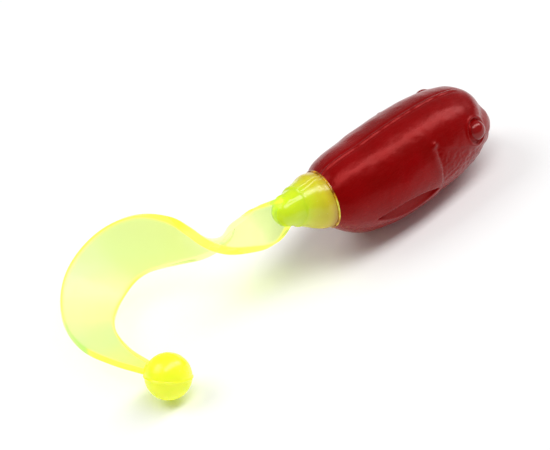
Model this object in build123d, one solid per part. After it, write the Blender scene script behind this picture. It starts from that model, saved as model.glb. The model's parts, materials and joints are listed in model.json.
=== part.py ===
"""Soft plastic tadpole lure: a red body, a translucent neck and a twisted ribbon tail with a ball tip.

Frame: millimetres, +X out of the nose, +Y to the lure's left, +Z up its back.
Origin: the hook's entry point on the middle of the nose.
"""

from build123d import *
import math
import os

# ---- Driving dimensions ----

# Red body
body_length = 29.8
body_diameter = 14.2
nose_diameter = 5.6
nose_rounding = 1.6

# Neck ring, where the two colours meet, and the cone and knob behind it
neck_diameter = 8.7
neck_rise = 3.0
neck_pitch = 20.0
neck_turn_from = 0.8
neck_length = 8.4
knob_diameter = 4.0
plug_diameter = 5.6
plug_end_diameter = 3.6
plug_length = 8.0

# Moulded features of the body
eye_diameter = 3.0
eye_stand = 0.75
eye_setback = 6.3
eye_angle = 18.0
socket_gap = 0.25
socket_depth = 0.25
cheek_depth = 0.35
cheek_back = 14.6
cheek_slant = 1.2
chin_width = 6.0
mouth_drop = 1.0
mouth_width = 0.5
mouth_depth = 0.5
mouth_reach = 3.4
pocket_length = 11.4
pocket_height = 2.6
pocket_depth = 1.0
pocket_setback = 20.8
pocket_drop = 1.1
pocket_tilt = 7.0

# Ribbon tail and its ball
tail_span = 28.9
ribbon_width = 8.8
ribbon_thickness = 1.2
ball_diameter = 6.7
ball_neck_diameter = 2.2
knuckle_diameter = 1.0
hinge_clearance = 0.15
knob_gap = 0.155

# ---- Shape of the body: share of the length behind the nose, share of the diameter, rise in mm ----

body_profile = [
    (0.040, 0.48, 0.1),
    (0.104, 0.66, 0.3),
    (0.190, 0.79, 0.6),
    (0.275, 0.87, 0.75),
    (0.360, 0.93, 0.85),
    (0.530, 0.99, 0.95),
    (0.640, 1.00, 1.0),
    (0.740, 0.985, 1.1),
    (0.830, 0.94, 1.35),
    (0.910, 0.86, 1.8),
    (0.970, 0.74, 2.4),
]

# ---- Shape of the tail, from the knob's centre at a span of drawn_span ----
# along X, along Y, along Z, share of the ribbon's width, roll of the blade about its own line

drawn_span = 28.9
tail_line = [
    (0.4, 0.0, 0.1, 0.50, 0),
    (-2.6, 0.5, -0.2, 0.66, 30),
    (-5.1, 1.8, -0.9, 0.73, 76),
    (-7.6, 3.7, -1.6, 0.77, 102),
    (-9.1, 5.5, -2.2, 0.80, 131),
    (-10.3, 8.1, -2.7, 0.84, 162),
    (-11.6, 11.8, -3.4, 0.91, 188),
    (-14.1, 16.0, -4.6, 0.98, 210),
    (-17.6, 18.0, -6.2, 1.00, 225),
    (-22.1, 17.4, -7.8, 1.00, 242),
    (-26.1, 14.5, -8.8, 0.89, 260),
    (-28.6, 10.0, -9.0, 0.68, 270),
    (-29.3, 4.5, -8.6, 0.43, 275),
    (-28.9, 0.0, -8.4, 0.30, 270),
]
ball_place = (-28.2, -4.4, -8.4)
hinge_stations = [1, 4, 7, 9, 11, 13]

# ---- Values worked out from them ----

pitch = math.radians(neck_pitch)
stalk = Vector(-math.cos(pitch), 0, math.sin(pitch))
neck_centre = Vector(-body_length, 0, neck_rise)
knob_centre = neck_centre + stalk * neck_length
hinge_setback = knuckle_diameter / 2 + hinge_clearance

# The first hinge stands clear of the knob, and the rest of the tail starts from it
drawn_root = Vector(*tail_line[hinge_stations[0]][:3])
root_reach = knob_diameter / 2 + knuckle_diameter / 2 + knob_gap
root = knob_centre + drawn_root.normalized() * root_reach
tail_scale = (tail_span - root_reach) / (drawn_span - drawn_root.length)


def profile_at(share):
    """Body radius and rise at a share of the length behind the nose."""
    rows = [(0.0, nose_diameter / body_diameter, 0.0)] + body_profile
    rows = rows + [(1.0, neck_diameter / body_diameter, neck_rise)]
    for (a, da, za), (b, db, zb) in zip(rows, rows[1:]):
        if a <= share <= b:
            t = (share - a) / (b - a)
            return body_diameter / 2 * (da + (db - da) * t), za + (zb - za) * t
    raise ValueError("share of the body's length is from 0 to 1")


def cross_plane(centre, tilt):
    """A plane across the body, facing the tail, its normal raised by tilt radians."""
    return Plane(origin=centre, x_dir=(0, 1, 0), z_dir=(-math.cos(tilt), 0, math.sin(tilt)))


def body_form(inset):
    """The bare body, with its skin taken in by inset."""
    nose = cross_plane((-inset, 0, 0), 0) * Circle(nose_diameter / 2 - inset)
    sections = [nose]
    for share, width, rise in body_profile:
        tilt = pitch * max(0.0, (share - neck_turn_from) / (1 - neck_turn_from))
        plane = cross_plane((-body_length * share, 0, rise), tilt)
        sections.append(plane * Circle(body_diameter * width / 2 - inset))
    ring = cross_plane(neck_centre, pitch) * Circle(neck_diameter / 2 - inset)
    sections.append(ring)
    return loft(sections)


def skin_place(setback, angle, side):
    """The point of the body's skin at a setback from the nose and an angle above the flank, and its normal."""
    radius, rise = profile_at(setback / body_length)
    out = Vector(0, side * math.cos(math.radians(angle)), math.sin(math.radians(angle)))
    return Vector(-setback, 0, rise) + out * radius, out


def add_eye(body, side):
    """A domed eye standing out of a ring-shaped groove."""
    point, out = skin_place(eye_setback, eye_angle, side)
    dome_radius = eye_diameter / 2
    centre = point - out * (dome_radius - eye_stand)
    groove_inner = dome_radius + 0.02
    ring = Plane(origin=point - out * socket_depth, z_dir=out)
    groove = ring * Cylinder(groove_inner + socket_gap, 2, align=(Align.CENTER, Align.CENTER, Align.MIN))
    groove -= ring * Cylinder(groove_inner, 3, align=(Align.CENTER, Align.CENTER, Align.MIN))
    dome = Pos(centre) * Sphere(dome_radius)
    return body - groove + dome


def cut_pocket(body, side):
    """The long lens-shaped pocket on one flank."""
    radius, rise = profile_at(pocket_setback / body_length)
    lens = scale(Sphere(1), by=(pocket_length / 2, pocket_depth, pocket_height / 2))
    across = math.sqrt(radius**2 - (pocket_drop + rise) ** 2)
    place = Pos(-pocket_setback, side * across, -pocket_drop) * Rot(0, pocket_tilt, 0)
    return body - place * lens


def cut_face(body):
    """The sunk cheek panels and the mouth's groove, both cut to an even depth under the skin."""
    radius, rise = profile_at(eye_setback / body_length)
    cheek_outline = [
        (-cheek_back, rise + radius * 0.42),
        (-eye_setback - eye_diameter, rise),
        (-eye_setback + eye_diameter / 2, rise - eye_diameter / 4),
        (-mouth_reach, -body_diameter / 2),
        (-cheek_back - cheek_slant, -body_diameter / 2),
    ]
    outline = Plane.XZ * make_face(Polyline(*cheek_outline, close=True))
    region = extrude(outline, amount=body_diameter, both=True)
    chin = Pos(-body_length / 2, 0, 0) * Box(2 * body_length, chin_width, 2 * body_diameter)
    cheek = region - body_form(cheek_depth) - chin
    slit = Pos(0, 0, -mouth_drop) * Box(2 * mouth_reach, body_diameter, mouth_width)
    mouth = slit - body_form(mouth_depth)
    return body - cheek - mouth


def plug_form():
    """The tapered plug of the neck's moulding that is bonded inside the body."""
    foot = cross_plane(neck_centre, pitch)
    tip = cross_plane(neck_centre - stalk * plug_length, pitch)
    return loft([tip * Circle(plug_end_diameter / 2), foot * Circle(plug_diameter / 2)])


def make_body():
    form = body_form(0)
    nose_face = form.faces().sort_by(Axis.X)[-1]
    form = fillet(nose_face.edges(), nose_rounding)
    form = cut_face(form)
    for side in (-1, 1):
        form = cut_pocket(form, side)
        form = add_eye(form, side)
    return form - plug_form()


# ---- The ribbon's line ----


def curve_value(values, station):
    """A smooth value between stations, by the four nearest ones."""
    last = len(values) - 1
    low = min(int(station), last - 1)
    t = station - low
    before = values[low - 1] if low > 0 else 2 * values[0] - values[1]
    after = values[low + 2] if low + 2 <= last else 2 * values[last] - values[last - 1]
    a, b, c, d = before, values[low], values[low + 1], after
    return 0.5 * (2 * b + (c - a) * t + (2 * a - 5 * b + 4 * c - d) * t**2 + (3 * b - a - 3 * c + d) * t**3)


def tail_place(drawn):
    """Where a drawn point of the tail stands on the lure."""
    return root + (Vector(*drawn) - drawn_root) * tail_scale


def tail_point(station):
    """The middle of the ribbon at a station."""
    return tail_place(curve_value([row[k] for row in tail_line], station) for k in range(3))


def tail_frame(station):
    """The ribbon's middle, direction, across-the-blade direction and width at a station."""
    step = 0.02
    ahead = min(station + step, len(tail_line) - 1)
    behind = max(station - step, 0)
    along = (tail_point(ahead) - tail_point(behind)).normalized()
    upright = (Vector(0, 0, 1) - along * along.Z).normalized()
    roll = math.radians(curve_value([row[4] for row in tail_line], station))
    across = upright * math.cos(roll) + along.cross(upright) * math.sin(roll)
    width = ribbon_width * curve_value([row[3] for row in tail_line], station)
    return tail_point(station), along, across, width


def blade_section(station, setback=0.0):
    """The blade's round-edged cross-section, set back along the ribbon."""
    middle, along, across, width = tail_frame(station)
    plane = Plane(origin=middle - along * setback, x_dir=across, z_dir=along)
    return plane * SlotOverall(width, ribbon_thickness)


def blade(first, last, trimmed):
    """The blade between two stations, cut short of its last hinge where trimmed."""
    sections = [blade_section(first + k / 2) for k in range(2 * (last - first))]
    sections.append(blade_section(last, hinge_setback if trimmed else 0.0))
    return loft(sections)


def knuckle(station):
    """The round end that turns about a hinge's line."""
    middle, along, across, width = tail_frame(station)
    plane = Plane(origin=middle, z_dir=across)
    return plane * Cylinder(knuckle_diameter / 2, width - ribbon_thickness)


# ---- The nodes ----


def make_core():
    """Neck cone, knob, bonded plug and the first stub of the ribbon, one moulding."""
    cone = []
    for share, size in ((0.0, 1.0), (0.35, 0.82), (0.7, 0.61), (1.0, 0.46)):
        plane = cross_plane(neck_centre + stalk * neck_length * share, pitch)
        diameter = knob_diameter + (neck_diameter - knob_diameter) * (size - 0.46) / 0.54
        cone.append(plane * Circle(diameter / 2))
    core = loft(cone) + Pos(knob_centre) * Sphere(knob_diameter / 2)
    core += plug_form()
    core += blade(0, hinge_stations[0], trimmed=True)
    return core


def make_tail_segment(first, last):
    return blade(first, last, trimmed=True) + knuckle(first)


def make_ball():
    """The ball at the tip and the short neck that carries it."""
    last = hinge_stations[-1]
    middle, along, across, width = tail_frame(last)
    centre = tail_place(ball_place)
    reach = centre - middle
    foot = Plane(origin=middle, x_dir=across, z_dir=along)
    root = Plane(origin=middle + reach * 0.6, x_dir=across, z_dir=reach.normalized())
    neck = loft([foot * SlotOverall(width, ribbon_thickness), root * Circle(ball_neck_diameter / 2)])
    return Pos(centre) * Sphere(ball_diameter / 2) + neck + knuckle(last)


def build():
    nodes = {"body": make_body(), "neck_core": make_core()}
    for number, (first, last) in enumerate(zip(hinge_stations, hinge_stations[1:]), start=1):
        nodes[f"tail_{number}"] = make_tail_segment(first, last)
    nodes["tail_ball"] = make_ball()
    return nodes


def main():
    os.makedirs("parts", exist_ok=True)
    for name, shape in build().items():
        export_step(shape, f"parts/{name}.step")
    for number, station in enumerate(hinge_stations, start=1):
        middle, along, across, width = tail_frame(station)
        print("hinge", number, [round(v, 3) for v in middle], "axis", [round(v, 4) for v in across])


main()
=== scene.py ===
"""Soft plastic tadpole lure: its moulded looks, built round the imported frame.

Metres, in the frame's own axes: +X out of the nose, +Y to the lure's left, +Z up its back.
Sizes below are in millimetres and are turned into metres where a mesh is made.
"""

import json
import math

import bpy
import numpy as np
from mathutils import Matrix, Vector, noise


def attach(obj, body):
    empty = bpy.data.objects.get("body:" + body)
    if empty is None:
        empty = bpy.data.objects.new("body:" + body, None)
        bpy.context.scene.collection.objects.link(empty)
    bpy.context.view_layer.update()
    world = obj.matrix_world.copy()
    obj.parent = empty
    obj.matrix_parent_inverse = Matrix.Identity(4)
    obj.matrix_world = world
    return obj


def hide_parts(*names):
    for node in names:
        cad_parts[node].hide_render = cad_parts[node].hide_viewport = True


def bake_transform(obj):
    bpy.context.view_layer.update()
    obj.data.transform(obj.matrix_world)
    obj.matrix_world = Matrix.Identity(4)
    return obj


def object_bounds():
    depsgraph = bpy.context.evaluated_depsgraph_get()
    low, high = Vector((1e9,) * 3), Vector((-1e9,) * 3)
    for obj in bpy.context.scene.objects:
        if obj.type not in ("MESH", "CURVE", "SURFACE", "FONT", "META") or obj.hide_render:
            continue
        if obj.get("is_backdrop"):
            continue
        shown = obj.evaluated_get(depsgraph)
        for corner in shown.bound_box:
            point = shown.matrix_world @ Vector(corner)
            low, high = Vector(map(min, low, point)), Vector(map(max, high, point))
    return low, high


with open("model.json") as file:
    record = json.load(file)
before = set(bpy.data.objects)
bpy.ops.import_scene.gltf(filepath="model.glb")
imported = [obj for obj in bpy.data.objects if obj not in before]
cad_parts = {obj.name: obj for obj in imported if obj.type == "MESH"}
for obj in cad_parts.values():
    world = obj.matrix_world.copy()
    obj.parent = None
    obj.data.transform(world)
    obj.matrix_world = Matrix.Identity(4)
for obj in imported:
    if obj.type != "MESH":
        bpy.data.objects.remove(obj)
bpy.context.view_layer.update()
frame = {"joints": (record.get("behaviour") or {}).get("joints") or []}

MM = 0.001

# ---- Sizes of the moulding, mm, as the frame has them ----

body_radius = 7.1
body_length = 29.8
neck_rise = 3.0
neck_pitch = math.radians(20)
neck_length = 8.4

# share of the length behind the nose, share of the full radius, rise of the middle line
body_profile = [
    (0.000, 0.36, 0.05),
    (0.040, 0.39, 0.18),
    (0.104, 0.64, 0.38),
    (0.190, 0.82, 0.5),
    (0.275, 0.91, 0.6),
    (0.360, 0.965, 0.72),
    (0.530, 1.0, 0.9),
    (0.640, 1.00, 1.0),
    (0.740, 0.98, 1.15),
    (0.830, 0.925, 1.45),
    (0.910, 0.845, 1.9),
    (0.970, 0.73, 2.5),
    (1.000, 0.605, 3.0),
]

stalk = Vector((-math.cos(neck_pitch), 0, math.sin(neck_pitch)))
neck_centre = Vector((-body_length, 0, neck_rise))
knob_centre = neck_centre + stalk * neck_length

# The ribbon's line, from the knob: along X, Y and Z, width,
# and the roll of the blade about its own line in degrees
tail_line = [
    (0.4, 0.0, 0.1, 4.4, 0),
    (-2.6, 0.4, -0.45, 5.6, 30),
    (-5.1, 1.7, -1.2, 6.2, 76),
    (-7.6, 3.6, -1.85, 6.6, 102),
    (-9.1, 5.5, -2.3, 6.7, 131),
    (-10.3, 8.1, -2.7, 6.9, 162),
    (-11.6, 11.8, -3.4, 7.5, 188),
    (-14.1, 16.0, -4.6, 8.35, 210),
    (-17.6, 18.0, -6.2, 8.8, 225),
    (-22.1, 17.4, -7.8, 8.8, 242),
    (-26.0, 14.4, -8.8, 7.5, 260),
    (-28.4, 9.9, -9.0, 5.6, 270),
    (-29.2, 4.5, -8.6, 3.4, 272),
    (-28.9, 0.0, -8.4, 2.1, 268),
    (-28.6, -1.7, -8.4, 1.7, 268),
]
tip_station = len(tail_line) - 1
hinge_stations = [1, 4, 7, 9, 11, 13]
cut_stations = [0, 2.5, 5.5, 8, 10, 12, tip_station]
blend_reach = [1.8, 2.0, 2.2, 2.2, 2.0, 1.0]
ribbon_thickness = 1.25


# ---- Small helpers ----


def smooth_value(rows, column, place):
    """A smooth value of one column at a place counted in rows."""
    last = len(rows) - 1
    low = max(0, min(int(math.floor(place)), last - 1))
    t = place - low
    b, c = rows[low][column], rows[low + 1][column]
    a = rows[low - 1][column] if low > 0 else 2 * b - c
    d = rows[low + 2][column] if low + 2 <= last else 2 * c - b
    square = (2 * a - 5 * b + 4 * c - d) * t**2
    cube = (3 * b - a - 3 * c + d) * t**3
    return 0.5 * (2 * b + (c - a) * t + square + cube)


def profile_at(share):
    """The body's radius and rise at a share of its length."""
    shares = [row[0] for row in body_profile]
    place = float(np.interp(share, shares, range(len(shares))))
    return body_radius * smooth_value(body_profile, 1, place), smooth_value(body_profile, 2, place)


def smoothstep(low, high, value):
    """0 below low, 1 above high, smooth between them."""
    t = np.clip((value - low) / (high - low), 0, 1)
    return t * t * (3 - 2 * t)


def ridge(distance, half_width):
    """A soft ridge, 1 in its middle."""
    return np.exp(-((distance / half_width) ** 2))


def noise_at(points, scale):
    """Smooth noise at each point, -1 to 1."""
    return np.array([noise.noise(Vector(p) * scale) for p in points])


def deselect():
    bpy.ops.object.select_all(action="DESELECT")


def edit(select="VERT"):
    bpy.ops.object.mode_set(mode="EDIT")
    bpy.ops.mesh.select_mode(type=select)


def leave_edit():
    bpy.ops.object.mode_set(mode="OBJECT")


def finish_place(piece):
    """The piece's object goes to the origin, unturned and unscaled, with its place in its mesh."""
    deselect()
    piece.select_set(True)
    bpy.context.view_layer.objects.active = piece
    bpy.ops.object.transform_apply(location=True, rotation=True, scale=True)


def apply_modifiers(piece):
    deselect()
    piece.select_set(True)
    bpy.context.view_layer.objects.active = piece
    for modifier in list(piece.modifiers):
        bpy.ops.object.modifier_apply(modifier=modifier.name)


def smooth_levels(piece, levels):
    """Subdivision, applied."""
    modifier = piece.modifiers.new("smooth", "SUBSURF")
    modifier.levels = levels
    modifier.render_levels = levels
    modifier.uv_smooth = "NONE"
    apply_modifiers(piece)


def shade_smooth(piece):
    for face in piece.data.polygons:
        face.use_smooth = True


def fix_normals(piece):
    """Merges doubles and turns every face outwards."""
    deselect()
    piece.select_set(True)
    bpy.context.view_layer.objects.active = piece
    edit()
    bpy.ops.mesh.select_all(action="SELECT")
    bpy.ops.mesh.remove_doubles(threshold=1e-7)
    bpy.ops.mesh.normals_make_consistent(inside=False)
    leave_edit()


def read_points(piece):
    points = np.zeros(len(piece.data.vertices) * 3)
    piece.data.vertices.foreach_get("co", points)
    return points.reshape(-1, 3) / MM


def read_normals(piece):
    normals = np.zeros(len(piece.data.vertices) * 3, np.float32)
    piece.data.vertex_normals.foreach_get("vector", normals)
    return normals.reshape(-1, 3).astype(float)


def write_points(piece, points):
    piece.data.vertices.foreach_set("co", (points * MM).ravel())
    piece.data.update()


def turn_onto(direction):
    """The rotation that takes +Z to a direction, with +Y kept across the lure."""
    z = Vector(direction).normalized()
    y = Vector((0, 1, 0))
    y = (y - z * y.dot(z)).normalized()
    x = y.cross(z)
    return Matrix((x, y, z)).transposed()


def lathe(name, rings, segments):
    """A round shell made as by hand: a filled circle, extruded ring by ring, and closed.

    rings holds (centre, direction, radius) in mm, from the first closed end to the last.
    """
    deselect()
    centre, direction, radius = rings[0]
    turn = turn_onto(direction)
    bpy.ops.mesh.primitive_circle_add(
        vertices=segments,
        radius=radius * MM,
        fill_type="TRIFAN",
        location=Vector(centre) * MM,
        rotation=turn.to_euler(),
    )
    piece = bpy.context.object
    piece.name = name
    finish_place(piece)
    edit("EDGE")
    bpy.ops.mesh.select_all(action="DESELECT")
    bpy.ops.mesh.select_non_manifold()
    for (c0, d0, r0), (c1, d1, r1) in zip(rings, rings[1:]):
        step = (Vector(c1) - Vector(c0)) * MM
        bpy.ops.mesh.extrude_region_move(TRANSFORM_OT_translate={"value": step})
        pitch = Vector(d0).angle(Vector(d1))
        if pitch > 1e-6:
            turn_back = 1 if Vector(d0).cross(Vector(d1)).y > 0 else -1
            bpy.ops.transform.rotate(
                value=-turn_back * pitch, orient_axis="Y", center_override=Vector(c1) * MM
            )
        scale = r1 / r0
        bpy.ops.transform.resize(value=(scale, scale, scale), center_override=Vector(c1) * MM)
    bpy.ops.mesh.extrude_region_move()
    bpy.ops.mesh.merge(type="CENTER")
    leave_edit()
    fix_normals(piece)
    return piece


# ---- The red body ----

body_segments = 42
eye_setback = 6.3
eye_angles = {-1: math.radians(18), 1: math.radians(25)}
eye_radius = 1.5
eye_sink = 0.62
eye_floor = 0.9
socket_depth = 0.3
socket_rim = 0.13

# gill: setback behind the nose, lean, and reach above and below the middle line
gill_setback = 14.3
gill_lean = 0.25 * -0.35
gill_middle = 1.5
gill_top, gill_foot = 4.0, -4.6
gill_depth = 0.18
lug_height = 0.22
brow_slope = 0.52
cheek_depth = 0.22
crease_depth = 0.06
mottle_height = 0.07

# flank pocket: its middle, half length, walls above and below the middle, depth
pocket_setback = 20.8
pocket_drop = 0.85
pocket_reach = 5.7
pocket_tilt = math.radians(7)
pocket_top, pocket_foot = 1.05, -1.65
pocket_depth = 1.45

# nose: lips, mouth groove, the dip above the snout and the corner of the forehead
snout_height = 0.06
dip_depth = 0.34
forehead_height = 0.14
mouth_drop = 0.9
lower_lip_height, upper_lip_height = 0.14, 0.10
mouth_depth = 0.42
nose_setback = 0.3

parting_height = 0.1
shoulder_height = 0.05
dent_height = 0.05


def tilt_at(share):
    return neck_pitch * max(0.0, (share - 0.8) / 0.2)


def body_ring(share, inset=0.0):
    radius, rise = profile_at(share)
    tilt = tilt_at(share)
    return (-body_length * share, 0, rise), (-math.cos(tilt), 0, math.sin(tilt)), radius - inset


def skin_point(setback, angle, side):
    """A point of the bare skin and the way out of it."""
    radius, rise = profile_at(setback / body_length)
    out = np.array([0.0, side * math.cos(angle), math.sin(angle)])
    return np.array([-setback, 0.0, rise]) + out * radius, out


def lean_ring(points):
    """The joint between the two colours sits back and askew, as the second pour left it."""
    offset = points - np.array(neck_centre)
    near = 1 - smoothstep(0.6, 5.5, np.abs(offset @ np.array(stalk)))
    leaned = points.copy()
    leaned[:, 0] += (-1.05 + 0.16 * offset[:, 1] - 0.24 * offset[:, 2]) * near
    leaned[:, 2] += 0.55 * near
    return leaned


def body_shell():
    """The bare body: the rounded nose, the belly and the lip at the neck."""
    rings = [((-0.9, 0, 0.15), (-1, 0, 0), 0.4), ((-0.92, 0, 0.15), (-1, 0, 0), 0.9)]
    rings += [((-1.0, 0, 0.15), (-1, 0, 0), 1.45), ((-1.16, 0, 0.16), (-1, 0, 0), 2.05)]
    for share in np.linspace(0.045, 1.0, 27):
        rings.append(body_ring(float(share)))
    end, direction, radius = rings[-1]
    along = Vector(direction)
    for step, size in ((0.10, -0.10), (0.12, -0.28), (-0.1, -0.5), (-0.5, -0.6)):
        rings.append((Vector(end) + along * step, direction, radius + size))
    return lathe("red_body", rings, body_segments)


def sink_pocket(depth, along, height, side_mask):
    """The lens-shaped pocket: a steep upper wall and a floor that runs out to the skin."""
    back, up = along - pocket_setback, height + pocket_drop
    u = (back * math.cos(pocket_tilt) + up * math.sin(pocket_tilt)) / pocket_reach
    v = up * math.cos(pocket_tilt) - back * math.sin(pocket_tilt)
    arc = np.clip(1 - u**2, 0, 1)
    top = pocket_top * arc
    bottom = pocket_foot * arc
    floor = np.clip((v - bottom) / np.maximum(top - 0.22 - bottom, 0.05), 0, 1) ** 0.72
    wall = 1 - smoothstep(-0.24, 0.0, v - top)
    return depth + np.where(side_mask, -pocket_depth * np.sqrt(arc) * floor * wall, 0)


def carve_body(piece):
    """Everything that the mould put on the skin, as moves along its normals."""
    points = read_points(piece)
    normals = read_normals(piece)
    along = -points[:, 0]
    height = points[:, 2]
    shares, _, rises = zip(*body_profile)
    rise = np.interp(along / body_length, shares, rises)
    across = points[:, 1]
    upright = height - rise
    flank = np.abs(across) > 2.0
    move = np.zeros(len(points))

    # gill groove and the lug at its top
    gill_line = gill_setback + gill_lean * (upright - gill_middle)
    behind = along - gill_line
    foot_fade = smoothstep(gill_foot - 0.8, gill_foot + 0.8, upright)
    top_fade = 1 - smoothstep(gill_top - 0.5, gill_top + 0.3, upright)
    groove = np.where(behind > 0, ridge(behind, 0.65), ridge(behind, 0.9))
    fade = 0.1 + 0.9 * smoothstep(-1.5, 2.5, upright)
    move -= np.where(flank, gill_depth * groove * (foot_fade * top_fade) * fade, 0)
    lug = ridge(behind - 0.1, 0.5) * ridge(upright - gill_top - 0.1, 0.35)
    move += np.where(flank, lug_height * lug, 0)

    # the sunk, slightly uneven cheek, and the crease under the brow
    brow = gill_top - 0.35 - (gill_line - along) * brow_slope
    under_brow = 1 - smoothstep(-0.9, 0.25, upright - brow)
    ahead = 1 - smoothstep(-0.2, 0.3, behind)
    in_cheek = ahead * smoothstep(2.2, 4.2, along) * np.where(flank, 1, 0)
    chin = smoothstep(2.0, 3.4, np.abs(across))
    move -= cheek_depth * under_brow * in_cheek * chin
    crease = ridge(upright - brow, 0.3) * (1 - smoothstep(-0.5, 0.1, behind))
    move -= np.where(flank, crease_depth * (crease * smoothstep(7.0, 9.0, along)), 0)
    mottle = noise_at(points, 1.5) + 0.6 * noise_at(points, 3.1)
    move += mottle_height * mottle * in_cheek * under_brow * chin

    # long pocket on each flank
    move = sink_pocket(move, along, height, np.abs(across) > 3.0)

    # snout: a full upper lip that stands out below a shallow dip, under the corner of the forehead
    front = 1 - smoothstep(2.6, 4.4, along)
    snout = smoothstep(-0.9, -0.2, height) * (1 - smoothstep(1.1, 1.75, height))
    move += snout_height * snout * front
    move -= dip_depth * ridge(height - 2.5, 1.0) * (1 - smoothstep(3.4, 5.2, along))
    move += forehead_height * ridge(height - 4.6, 0.9) * (1 - smoothstep(4.0, 6.0, along))

    # mouth and its lips
    lip_line = height + mouth_drop - 0.25 * smoothstep(0, 3, along)
    move += lower_lip_height * ridge(lip_line - 0.75, 0.62) * front
    move += upper_lip_height * ridge(lip_line + 0.75, 0.55) * front
    move -= mouth_depth * ridge(lip_line, 0.2) * front

    # eye sockets: a groove with a low rim round it
    for side in (-1, 1):
        centre, out = skin_point(eye_setback, eye_angles[side], side)
        distance = np.linalg.norm(points - centre, axis=1)
        move -= socket_depth * ridge(distance - eye_radius - 0.1, 0.2)
        move += socket_rim * ridge(distance - eye_radius - 0.55, 0.22)

    # parting line along the back and the belly, fading at the nose
    for top in (1, -1):
        on_line = (upright * top > 2) & (along > 3.5)
        edges = ridge(across - 0.42, 0.16) + ridge(across + 0.42, 0.16)
        line = np.where(on_line, 1.5 * ridge(across, 0.17) - 0.75 * edges, 0)
        waver = 0.75 + 0.25 * np.sin(along * 2.1) * np.sin(along * 0.83 + 1)
        move += parting_height * line * waver * smoothstep(3.5, 6.5, along)

    # shallow hollow beside the parting line, where the two mould halves sit a little proud
    beside = smoothstep(0.15, 0.5, across) * (1 - smoothstep(0.5, 2.4, across))
    shoulder = np.where(upright > 3, beside, 0)
    move += shoulder_height * shoulder * smoothstep(6, 9, along) * (1 - smoothstep(24, 28, along))

    # soft dents left by handling
    dents = noise_at(points, 0.34) + 0.45 * noise_at(points, 0.9)
    skin = (along > 0.6) & (along < body_length - 0.8)
    move += np.where(skin, dent_height * dents, 0)
    carved = points + normals * move[:, None]

    # the nose is drawn in a little
    carved[:, 0] -= nose_setback * (1 - smoothstep(0.9, 5.0, along))
    write_points(piece, lean_ring(carved))


def make_eye(side):
    """The moulded eye: a dome sunk in its socket."""
    centre, out = skin_point(eye_setback, eye_angles[side], side)
    deselect()
    bpy.ops.mesh.primitive_uv_sphere_add(
        segments=48,
        ring_count=32,
        radius=eye_radius * MM,
        location=Vector(centre - out * eye_sink) * MM,
        rotation=turn_onto(out).to_euler(),
    )
    eye = bpy.context.object
    eye.name = "eye_right" if side < 0 else "eye_left"
    bpy.ops.transform.resize(value=(1.0, 1.0, 0.98), orient_type="LOCAL")
    finish_place(eye)
    edit()
    bpy.ops.mesh.select_all(action="SELECT")
    floor_point = Vector(centre - out * eye_floor) * MM
    bpy.ops.mesh.bisect(
        plane_co=floor_point, plane_no=Vector(out), use_fill=True, clear_inner=True
    )
    leave_edit()
    fix_normals(eye)
    shade_smooth(eye)
    return eye


red_body = body_shell()
smooth_levels(red_body, 3)
fix_normals(red_body)
carve_body(red_body)
shade_smooth(red_body)
eyes = [make_eye(side) for side in (-1, 1)]

# ---- The neck: golden bead, cone and knob ----

neck_segments = 48
knob_line = 6.6
knob_step = 0.14
seam_height = 0.09
fleck_height = 0.25
bead_radius = 4.26
bead_thickness = 0.17

# along the stalk, radius, lift of the middle line
neck_profile = [
    (-0.55, 3.7, 0),
    (-0.45, 4.05, 0),
    (-0.1, 4.2, 0),
    (0.15, 4.24, 0),
    (0.9, 4.24, 0.05),
    (2.2, 4.13, 0.2),
    (3.6, 3.76, 0.30),
    (5.0, 3.33, 0.36),
    (6.3, 2.9, 0.34),
    (7.4, 2.58, 0.24),
    (8.3, 2.42, 0.1),
    (9.0, 2.18, 0),
    (9.6, 1.8, 0),
    (10.05, 1.25, 0),
    (10.3, 0.6, 0),
]
neck_up = Vector((math.sin(neck_pitch), 0, math.cos(neck_pitch)))


def seam_lines(points, normals):
    """The parting line of the cone, and the line round it where the knob begins."""
    base = np.array(neck_centre)
    along = (points - base) @ np.array(stalk)
    across = points[:, 1]
    up = (points - base) @ np.array(neck_up)
    waver = noise_at(points, 0.9)
    line = np.where(np.abs(up) > 0.3, ridge(across + 0.1 * waver, 0.12), 0)
    second = np.where(up > 0.3, ridge(across + 0.62 + 0.1 * waver, 0.12), 0)
    before_knob = 1 - smoothstep(knob_line - 0.1, knob_line + 0.1, along)
    shown = smoothstep(0.1, 0.5, along) * before_knob
    collar = ridge(along - knob_line - 0.12 * waver, 0.11)
    step = knob_step * smoothstep(knob_line - 0.05, knob_line + 0.25, along)
    fleck = np.clip(waver - 0.1, 0, 1) * ridge(along - 8.6, 0.9) * smoothstep(0.2, 1.2, up)
    lines = seam_height * (line + 0.7 * second) * shown + seam_height * collar
    height = lines - step + fleck_height * fleck
    return points + normals * height[:, None]


def make_neck():
    """The cone and the knob, one round moulding along the stalk."""
    rings = [
        (neck_centre + stalk * along + neck_up * lift, tuple(stalk), radius)
        for along, radius, lift in neck_profile
    ]
    neck = lathe("neck_cone", rings, neck_segments)
    smooth_levels(neck, 3)
    fix_normals(neck)
    points = read_points(neck)
    write_points(neck, lean_ring(seam_lines(points, read_normals(neck))))
    shade_smooth(neck)
    return neck


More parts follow.
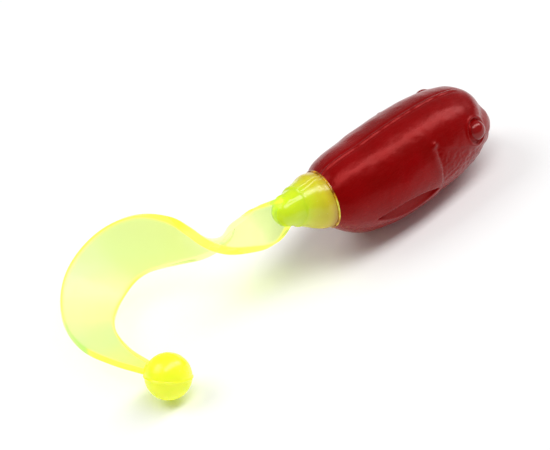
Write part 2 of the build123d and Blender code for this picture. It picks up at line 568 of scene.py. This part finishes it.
def make_bead():
    """The fine bead of the neck's plastic that laps the body's lip."""
    deselect()
    turn = turn_onto(stalk)
    bpy.ops.mesh.primitive_torus_add(
        major_segments=144,
        minor_segments=16,
        major_radius=bead_radius * MM,
        minor_radius=bead_thickness * MM,
        location=(neck_centre + stalk * 0.1) * MM,
        rotation=turn.to_euler(),
    )
    bead = bpy.context.object
    bead.name = "neck_bead"
    finish_place(bead)
    points = read_points(bead)
    waver = noise_at(points, 0.3) + 0.3 * noise_at(points, 0.8)
    thinning = 1 - smoothstep(-4.0, -1.0, points[:, 2] - neck_rise)
    points = points + read_normals(bead) * (0.05 * waver - 0.05 * thinning)[:, None]
    points = points + np.array(stalk) * (0.12 * waver)[:, None]
    write_points(bead, lean_ring(points))
    shade_smooth(bead)
    return bead


neck_cone = make_neck()
neck_bead = make_bead()

# ---- The ribbon tail ----


def tail_point(station):
    drawn = [smooth_value(tail_line, axis, station) for axis in range(3)]
    return np.array(knob_centre) + np.array(drawn)


def tail_frame(station):
    """The ribbon's middle, direction, across-the-blade direction and width."""
    step = 0.02
    along = tail_point(station + step) - tail_point(station - step)
    along /= np.linalg.norm(along)
    upright = np.array([0, 0, 1.0]) - along * along[2]
    upright /= np.linalg.norm(upright)
    roll = math.radians(smooth_value(tail_line, 4, station))
    across = upright * math.cos(roll) + np.cross(along, upright) * math.sin(roll)
    return tail_point(station), along, across, smooth_value(tail_line, 3, station)


rows_per_station = 8
ribbon_columns = 10
edge_rounding = 0.36


def make_ribbon():
    """One flat strip, laid along the tail's line, thickened and round-edged."""
    rows = tip_station * rows_per_station
    deselect()
    bpy.ops.mesh.primitive_grid_add(
        x_subdivisions=rows, y_subdivisions=ribbon_columns, size=2, calc_uvs=True
    )
    ribbon = bpy.context.object
    ribbon.name = "tail_ribbon"
    flat = np.zeros(len(ribbon.data.vertices) * 3)
    ribbon.data.vertices.foreach_get("co", flat)
    flat = flat.reshape(-1, 3)
    placed = np.zeros_like(flat)
    frames = {}
    for number, (u, v, _) in enumerate(flat):
        station = round((u + 1) / 2 * tip_station, 6)
        if station not in frames:
            frames[station] = tail_frame(station)
        middle, along, across, width = frames[station]
        placed[number] = middle + across * v * (width / 2)
    write_points(ribbon, placed)
    thick = ribbon.modifiers.new("thickness", "SOLIDIFY")
    thick.thickness = ribbon_thickness * MM
    thick.offset = 0
    thick.use_even_offset = True
    apply_modifiers(ribbon)
    fix_normals(ribbon)
    round_edges = ribbon.modifiers.new("round edges", "BEVEL")
    round_edges.width = edge_rounding * MM
    round_edges.segments = 3
    round_edges.limit_method = "ANGLE"
    round_edges.angle_limit = math.radians(50)
    apply_modifiers(ribbon)
    smooth_levels(ribbon, 1)
    shade_smooth(ribbon)
    return ribbon


def face_stations(piece):
    """The middle of each face along the ribbon, in stations, from its UV map."""
    layer = piece.data.uv_layers[0].data
    return [
        sum(layer[k].uv[0] for k in face.loop_indices) / face.loop_total * tip_station
        for face in piece.data.polygons
    ]


def cut_ribbon(ribbon):
    """The ribbon in pieces that each cross one hinge, cut where the blade doesn't bend."""
    pieces = []
    for number, end in enumerate(cut_stations[1:-1]):
        stations = face_stations(ribbon)
        deselect()
        ribbon.select_set(True)
        bpy.context.view_layer.objects.active = ribbon
        edit("FACE")
        bpy.ops.mesh.select_all(action="DESELECT")
        leave_edit()
        for face, station in zip(ribbon.data.polygons, stations):
            face.select = station < end
        edit("FACE")
        bpy.ops.mesh.separate(type="SELECTED")
        leave_edit()
        piece = next(o for o in bpy.context.selected_objects if o is not ribbon)
        piece.name = f"tail_ribbon_{number + 1}"
        pieces.append(piece)
    ribbon.name = f"tail_ribbon_{len(cut_stations) - 1}"
    pieces.append(ribbon)
    return pieces


ribbons = cut_ribbon(make_ribbon())

# ---- The ball at the tip ----

ball_radius = 3.35
ball_place = (-28.2, -4.4, -8.4)
ball_seam_height = 0.14
entry_reach = 0.55
dimple_way = Vector((-0.77, 0.1, -0.35)).normalized()
dimple_depth = 0.16
seam_way = Vector((0.37, 0.20, 0.91)).normalized()


def make_ball():
    """The ball with its moulding seam, drawn out where the ribbon runs into it."""
    centre = np.array(knob_centre) + np.array(ball_place)
    deselect()
    bpy.ops.mesh.primitive_ico_sphere_add(
        subdivisions=7, radius=ball_radius * MM, location=Vector(centre) * MM
    )
    ball = bpy.context.object
    ball.name = "tail_ball_tip"
    finish_place(ball)
    points = read_points(ball)
    out = (points - centre) / ball_radius
    move = ball_seam_height * ridge(out @ np.array(seam_way) * ball_radius, 0.14)
    entry = tail_point(tip_station - 1) - centre
    entry /= np.linalg.norm(entry)
    toward = out @ entry
    move += entry_reach * np.clip((toward - 0.86) / 0.14, 0, 1) ** 1.5
    from_dimple = np.linalg.norm(out - np.array(dimple_way), axis=1) * ball_radius
    move -= dimple_depth * ridge(from_dimple, 0.28)
    write_points(ball, points + out * move[:, None])
    shade_smooth(ball)
    return ball


ball = make_ball()

# ---- Materials ----


def new_material(name):
    material = bpy.data.materials.new(name)
    material.use_nodes = True
    nodes = material.node_tree.nodes
    nodes.clear()
    output = nodes.new("ShaderNodeOutputMaterial")
    shader = nodes.new("ShaderNodeBsdfPrincipled")
    material.node_tree.links.new(shader.outputs["BSDF"], output.inputs["Surface"])
    return material, shader


def add_node(material, kind, **settings):
    node = material.node_tree.nodes.new(kind)
    for key, value in settings.items():
        if key in node.inputs:
            node.inputs[key].default_value = value
        else:
            setattr(node, key, value)
    return node


def join(material, source, target):
    material.node_tree.links.new(source, target)


def place_of(material):
    """Object coordinates in millimetres."""
    coordinates = add_node(material, "ShaderNodeTexCoord")
    mapping = add_node(material, "ShaderNodeMapping")
    mapping.inputs["Scale"].default_value = (1000, 1000, 1000)
    join(material, coordinates.outputs["Object"], mapping.inputs["Vector"])
    return mapping.outputs["Vector"]


def noise_on(material, place, scale, detail=3.0, roughness=0.55, stretch=None):
    texture = add_node(
        material, "ShaderNodeTexNoise", Scale=scale, Detail=detail, Roughness=roughness
    )
    if stretch:
        mapping = add_node(material, "ShaderNodeMapping")
        mapping.inputs["Scale"].default_value = stretch
        join(material, place, mapping.inputs["Vector"])
        place = mapping.outputs["Vector"]
    join(material, place, texture.inputs["Vector"])
    return texture.outputs["Fac"]


def ramp(material, source, stops, interpolation="LINEAR"):
    node = add_node(material, "ShaderNodeValToRGB")
    node.color_ramp.interpolation = interpolation
    elements = node.color_ramp.elements
    while len(elements) > len(stops):
        elements.remove(elements[-1])
    while len(elements) < len(stops):
        elements.new(1.0)
    for element, (position, value) in zip(elements, stops):
        element.position = position
        element.color = value if len(value) == 4 else (*value, 1)
    join(material, source, node.inputs["Fac"])
    return node.outputs["Color"]


def grey(value):
    return (value, value, value)


def mix_colours(material, factor, first, second, blend="MIX"):
    node = add_node(material, "ShaderNodeMix", data_type="RGBA", blend_type=blend)
    sockets = [node.inputs[0], node.inputs[6], node.inputs[7]]
    for value, socket in zip((factor, first, second), sockets):
        if isinstance(value, bpy.types.NodeSocket):
            join(material, value, socket)
        else:
            socket.default_value = value if isinstance(value, float) else (*value, 1)
    return node.outputs[2]


def bump_chain(material, shader, layers):
    """Bumps laid one over another: (height source, depth in mm, strength)."""
    normal = None
    for height, depth, strength in layers:
        bump = add_node(material, "ShaderNodeBump", Strength=strength, Distance=depth * MM)
        join(material, height, bump.inputs["Height"])
        if normal is not None:
            join(material, normal, bump.inputs["Normal"])
        normal = bump.outputs["Normal"]
    join(material, normal, shader.inputs["Normal"])


def red_plastic(name, gloss, tint):
    """Deep red soft plastic: glossy, with handling marks, pits and a faintly cloudy depth."""
    material, shader = new_material(name)
    place = place_of(material)
    cloud = noise_on(material, place, 0.22, detail=2)
    colour = ramp(material, cloud, [(0.3, (0.165, 0.0, 0.0)), (0.7, (0.22, 0.0, 0.001))])
    join(material, colour, shader.inputs["Base Color"])
    marks = noise_on(material, place, 1.6, detail=5, roughness=0.65, stretch=(0.35, 1, 1))
    stops = [(0.35, 0.23), (0.6, 0.3), (0.8, 0.4)]
    roughness = ramp(material, marks, [(mark, grey(rough - gloss)) for mark, rough in stops])
    join(material, roughness, shader.inputs["Roughness"])
    shader.inputs["Specular IOR Level"].default_value = 0.6
    shader.inputs["Specular Tint"].default_value = tint
    # Painted light: a faint red glow over the whole surface, lifting the red where the lamps leave
    # it dull.
    shader.inputs["Emission Color"].default_value = (1, 0, 0, 1)
    shader.inputs["Emission Strength"].default_value = 0.035
    shader.inputs["Subsurface Weight"].default_value = 0.12
    shader.inputs["Subsurface Radius"].default_value = (1.0, 0.05, 0.03)
    shader.inputs["Subsurface Scale"].default_value = 0.8 * MM
    pits = add_node(material, "ShaderNodeTexVoronoi", Scale=1.3)
    join(material, place, pits.inputs["Vector"])
    pit_depth = ramp(material, pits.outputs["Distance"], [(0.0, grey(0.0)), (0.09, grey(1.0))])
    grain = noise_on(material, place, 9, detail=3)
    swell = noise_on(material, place, 0.9, detail=2)
    layers = [(swell, 0.05, 0.5), (pit_depth, 0.03, 0.45), (grain, 0.006, 0.35)]
    bump_chain(material, shader, layers)
    return material


def neck_plastic():
    """Chartreuse over the red: golden brown at the body, clear yellow green at the knob."""
    material, shader = new_material("neck_chartreuse_plastic")
    coordinates = add_node(material, "ShaderNodeTexCoord")
    turn = add_node(material, "ShaderNodeMapping", vector_type="TEXTURE")
    turn.inputs["Location"].default_value = neck_centre * MM
    turn.inputs["Rotation"].default_value = turn_onto(stalk).to_euler()
    turn.inputs["Scale"].default_value = (MM, MM, MM)
    join(material, coordinates.outputs["Object"], turn.inputs["Vector"])
    split = add_node(material, "ShaderNodeSeparateXYZ")
    join(material, turn.outputs["Vector"], split.inputs["Vector"])
    place = place_of(material)
    cloud = noise_on(material, place, 0.35, detail=2)
    drift = add_node(material, "ShaderNodeMath", operation="MULTIPLY_ADD")
    join(material, cloud, drift.inputs[0])
    drift.inputs[1].default_value = 1.6
    join(material, split.outputs["Z"], drift.inputs[2])
    share = add_node(material, "ShaderNodeMath", operation="DIVIDE")
    join(material, drift.outputs[0], share.inputs[0])
    share.inputs[1].default_value = 11.0
    colour = ramp(
        material,
        share.outputs[0],
        [
            (0.15, (0.34, 0.10, 0.003)),
            (0.24, (0.52, 0.27, 0.010)),
            (0.37, (0.66, 0.52, 0.012)),
            (0.56, (0.72, 0.74, 0.014)),
            (0.70, (0.66, 0.84, 0.01)),
            (0.92, (0.70, 0.90, 0.01)),
        ],
    )
    join(material, colour, shader.inputs["Base Color"])
    marks = noise_on(material, place, 2.2, detail=4)
    roughness = ramp(material, marks, [(0.3, grey(0.16)), (0.7, grey(0.28))])
    join(material, roughness, shader.inputs["Roughness"])
    shader.inputs["Subsurface Weight"].default_value = 0.55
    shader.inputs["Subsurface Radius"].default_value = (1.0, 0.9, 0.12)
    shader.inputs["Subsurface Scale"].default_value = 1.6 * MM
    shader.inputs["Coat Weight"].default_value = 0.2
    shader.inputs["Coat Roughness"].default_value = 0.1
    swell = noise_on(material, place, 1.1, detail=2)
    grain = noise_on(material, place, 8, detail=2)
    bump_chain(material, shader, [(swell, 0.08, 0.4), (grain, 0.006, 0.3)])
    return material


def bead_plastic():
    """The thin golden lap of plastic at the joint of the two colours."""
    material, shader = new_material("golden_bead_plastic")
    place = place_of(material)
    streak = noise_on(material, place, 0.55, detail=2)
    brown, amber, yellow = (0.22, 0.06, 0.0), (0.72, 0.36, 0.01), (0.95, 0.85, 0.10)
    colour = ramp(material, streak, [(0.38, brown), (0.52, amber), (0.66, yellow)])
    join(material, colour, shader.inputs["Base Color"])
    roughness = ramp(material, streak, [(0.3, grey(0.12)), (0.7, grey(0.2))])
    join(material, roughness, shader.inputs["Roughness"])
    shader.inputs["Subsurface Weight"].default_value = 0.4
    shader.inputs["Subsurface Radius"].default_value = (1.0, 0.6, 0.1)
    shader.inputs["Subsurface Scale"].default_value = 0.5 * MM
    return material


def ribbon_plastic():
    """Thin translucent chartreuse, pale through its faces. Painted light: a saturated yellow and a
    glow along its rounded edges for the light the plastic carries to them, and a faint glow over
    the faces.
    """
    material, shader = new_material("ribbon_chartreuse_plastic")
    uv = add_node(material, "ShaderNodeUVMap")
    split = add_node(material, "ShaderNodeSeparateXYZ")
    join(material, uv.outputs["UV"], split.inputs["Vector"])
    centred = add_node(material, "ShaderNodeMath", operation="MULTIPLY_ADD")
    join(material, split.outputs["Y"], centred.inputs[0])
    centred.inputs[1].default_value = 2.0
    centred.inputs[2].default_value = -1.0
    rim = add_node(material, "ShaderNodeMath", operation="ABSOLUTE")
    join(material, centred.outputs[0], rim.inputs[0])
    place = place_of(material)
    cloud = noise_on(material, place, 0.25, detail=2)
    drift = add_node(material, "ShaderNodeMath", operation="MULTIPLY_ADD")
    join(material, cloud, drift.inputs[0])
    drift.inputs[1].default_value = 0.06
    join(material, split.outputs["X"], drift.inputs[2])
    # The faces' tint is set stretch by stretch along the blade: its darker, greener stretches are
    # painted shade and its lighter ones painted reflection; the noise drift adds random tone.
    face = ramp(
        material,
        drift.outputs[0],
        [
            (0.06, (0.72, 0.88, 0.38)),
            (0.18, (0.90, 0.95, 0.46)),
            (0.30, (0.84, 0.93, 0.42)),
            (0.44, (0.80, 0.91, 0.33)),
            (0.58, (0.76, 0.89, 0.37)),
            (0.67, (0.82, 0.91, 0.52)),
            (0.74, (0.78, 0.91, 0.44)),
            (0.80, (0.62, 0.84, 0.42)),
            (0.84, (0.64, 0.85, 0.40)),
            (0.88, (0.72, 0.90, 0.34)),
            (1.00, (0.76, 0.89, 0.18)),
        ],
    )
    # Painted light along the rims: a saturated yellow, pale in some stretches and green in others,
    # stands for light carried through the plastic to its edges.
    rim_stops = [(0.85, 0.0), (0.87, 0.2), (0.89, 0.05), (0.945, 0.35), (0.99, 1.0)]
    edge_share = ramp(material, rim.outputs[0], [(near, grey(share)) for near, share in rim_stops])
    on_side = ramp(material, split.outputs["Y"], [(0.4, grey(0.0)), (0.6, grey(1.0))])
    yellow = (0.94, 0.94, 0.06)
    pale = (0.86, 0.94, 0.50)
    knob_green = (0.62, 0.84, 0.16)
    inner_stops = [(0.03, knob_green), (0.06, yellow), (0.11, yellow)]
    inner_stops += [(0.15, pale), (0.44, pale), (0.56, yellow)]
    inner_colour = ramp(material, split.outputs["X"], inner_stops)
    rim_colour = ramp(
        material,
        split.outputs["X"],
        [(0.69, yellow), (0.74, (0.34, 0.74, 0.14)), (0.80, (0.28, 0.70, 0.10)), (0.815, yellow)],
    )
    edge_colour = mix_colours(material, on_side, rim_colour, inner_colour)
    colour = mix_colours(material, edge_share, face, edge_colour)
    join(material, colour, shader.inputs["Base Color"])
    shader.inputs["Transmission Weight"].default_value = 0.85
    shader.inputs["Roughness"].default_value = 0.1
    shader.inputs["IOR"].default_value = 1.16
    # Painted glow: the rims glow yellow and the faces faintly, though the ribbon is no lamp.
    painted_rim_glow = mix_colours(material, 1.0, edge_colour, (0.34, 0.34, 0.25), blend="MULTIPLY")
    painted_glow = mix_colours(material, edge_share, (0.02, 0.024, 0.006), painted_rim_glow)
    join(material, painted_glow, shader.inputs["Emission Color"])
    shader.inputs["Emission Strength"].default_value = 1.0
    speck = add_node(material, "ShaderNodeTexVoronoi", Scale=0.45)
    join(material, place, speck.inputs["Vector"])
    speck_bump = ramp(material, speck.outputs["Distance"], [(0.0, grey(1.0)), (0.05, grey(0.0))])
    swell = noise_on(material, place, 0.7, detail=2)
    grain = noise_on(material, place, 7, detail=2)
    layers = [(swell, 0.05, 0.4), (grain, 0.004, 0.3), (speck_bump, 0.03, 0.5)]
    bump_chain(material, shader, layers)
    clear_in_shadow(material, shader, (0.93, 0.98, 0.78))
    return material


def clear_in_shadow(material, shader, tint):
    """Light passes through to the floor, tinted, so that the shadow is that of clear plastic."""
    output = next(n for n in material.node_tree.nodes if n.type == "OUTPUT_MATERIAL")
    path = add_node(material, "ShaderNodeLightPath")
    clear = add_node(material, "ShaderNodeBsdfTransparent", Color=(*tint, 1))
    mix = add_node(material, "ShaderNodeMixShader")
    join(material, path.outputs["Is Shadow Ray"], mix.inputs[0])
    join(material, shader.outputs["BSDF"], mix.inputs[1])
    join(material, clear.outputs["BSDF"], mix.inputs[2])
    join(material, mix.outputs["Shader"], output.inputs["Surface"])


def ball_plastic():
    """Thick chartreuse: nearly opaque and yellow, with a soft gloss and a painted glow that
    brightens it and lifts its shaded underside.
    """
    material, shader = new_material("ball_chartreuse_plastic")
    place = place_of(material)
    cloud = noise_on(material, place, 0.5, detail=2)
    colour = ramp(material, cloud, [(0.3, (0.82, 0.97, 0.02)), (0.7, (0.90, 0.99, 0.03))])
    reach = add_node(material, "ShaderNodeVectorMath", operation="DISTANCE")
    join(material, place, reach.inputs[0])
    reach.inputs[1].default_value = tail_point(tip_station - 0.6)
    near_ribbon = ramp(material, reach.outputs["Value"], [(0.0, grey(1.0)), (0.9, grey(0.0))])
    colour = mix_colours(material, near_ribbon, colour, (0.45, 0.92, 0.03))
    join(material, colour, shader.inputs["Base Color"])
    roughness = ramp(material, cloud, [(0.3, grey(0.2)), (0.7, grey(0.28))])
    join(material, roughness, shader.inputs["Roughness"])
    shader.inputs["Subsurface Weight"].default_value = 0.8
    shader.inputs["Subsurface Radius"].default_value = (1.0, 1.0, 0.1)
    shader.inputs["Subsurface Scale"].default_value = 1.8 * MM
    # Painted light: a yellow glow that brightens the ball and lifts its shaded lower side.
    shader.inputs["Emission Color"].default_value = (0.9, 1.0, 0.02, 1)
    shader.inputs["Emission Strength"].default_value = 0.18
    swell = noise_on(material, place, 1.0, detail=2)
    grain = noise_on(material, place, 8, detail=2)
    bump_chain(material, shader, [(swell, 0.06, 0.3), (grain, 0.005, 0.3)])
    return material


def paint(piece, material):
    piece.data.materials.clear()
    piece.data.materials.append(material)


body_tint = (1.0, 0.13, 0.12, 1)
eye_tint = (1.0, 0.6, 0.58, 1)
eye_gloss = 0.16
paint(red_body, red_plastic("red_soft_plastic", 0.0, body_tint))
eye_red = red_plastic("red_eye_plastic", eye_gloss, eye_tint)
for piece in eyes:
    paint(piece, eye_red)
paint(neck_cone, neck_plastic())
paint(neck_bead, bead_plastic())
paint(ball, ball_plastic())
clear_plastic = ribbon_plastic()
for piece in ribbons:
    paint(piece, clear_plastic)

# ---- What the body pieces and the ball move with; the ribbon pieces are baked where they lie ----

for piece in [red_body, *eyes, neck_cone, neck_bead]:
    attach(piece, "body_and_neck")
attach(ball, "tail_ball")
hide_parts("body")
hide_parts("neck_core")
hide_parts("tail_ball")
for piece, joint, station, reach in zip(ribbons, frame["joints"], hinge_stations, blend_reach):
    middle, along, across, width = tail_frame(station)
    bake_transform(piece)
for number, piece in enumerate(ribbons[:-1], start=1):
    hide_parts(f"tail_{number}")

# ---- Floor, light and camera ----

look_back = Vector((-0.466, -0.620, 0.631)).normalized()
look_up = look_back.cross(Vector((0.719, -0.682, -0.140)).normalized()).normalized()
look_right = look_up.cross(look_back)
camera_distance = 1.5
sensor_width = 36
frame_width = 77 * MM
body_middle = Vector((-15.8, 0, 1.0)) * MM
aim = body_middle - look_right * 17.78 * MM - look_up * 9.45 * MM

floor_size = 6
floor_colour = (0.97, 0.97, 0.97)
world_strength = 0.28
light_distance = 0.5
lit_middle = Vector((-35, 3, 0)) * MM

# name, direction from the lure, length and width in metres, watts
softboxes = [
    ("left softbox", (-0.47, 0.45, 0.76), (0.30, 0.26), 0.8),
    ("long softbox", (0.34, -0.21, 0.92), (0.95, 0.17), 2.5),
]


def plain_material(name, colour, roughness):
    material, shader = new_material(name)
    shader.inputs["Base Color"].default_value = (*colour, 1)
    shader.inputs["Roughness"].default_value = roughness
    return material


def make_floor(height):
    """The pale floor that the lure lies on."""
    deselect()
    bpy.ops.mesh.primitive_plane_add(size=floor_size, location=(0, 0, height))
    floor = bpy.context.object
    floor.name = "floor"
    paint(floor, plain_material("pale_floor", floor_colour, 0.9))
    floor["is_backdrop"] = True


def add_softbox(name, direction, size, power):
    """A rectangular light facing the lure, its first side along the lure."""
    data = bpy.data.lights.new(name, "AREA")
    data.shape = "RECTANGLE"
    data.size, data.size_y = size
    data.energy = power
    light = bpy.data.objects.new(name, data)
    bpy.context.scene.collection.objects.link(light)
    out = Vector(direction).normalized()
    side = (Vector((1, 0, 0)) - out * out.x).normalized()
    turn = Matrix((side, out.cross(side), out)).transposed().to_4x4()
    light.matrix_world = Matrix.Translation(lit_middle + out * light_distance) @ turn


def light_scene():
    """Two softboxes in an even white room."""
    for softbox in softboxes:
        add_softbox(*softbox)
    world = bpy.data.worlds.new("soft white room")
    bpy.context.scene.world = world
    world.use_nodes = True
    background = world.node_tree.nodes["Background"]
    background.inputs["Color"].default_value = (1.0, 1.0, 1.0, 1)
    background.inputs["Strength"].default_value = world_strength


def place_camera():
    """A long lens, aimed between the body and the tail."""
    data = bpy.data.cameras.new("camera")
    data.sensor_width = sensor_width
    data.lens = sensor_width * camera_distance / frame_width
    data.clip_end = 20
    data.clip_start = 0.05
    camera = bpy.data.objects.new("camera", data)
    bpy.context.scene.collection.objects.link(camera)
    turn = Matrix((look_right, look_up, look_back)).transposed().to_4x4()
    camera.matrix_world = Matrix.Translation(aim + look_back * camera_distance) @ turn
    bpy.context.scene.camera = camera


make_floor(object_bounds()[0][2])
light_scene()
place_camera()
bpy.context.scene.view_settings.view_transform = "Standard"
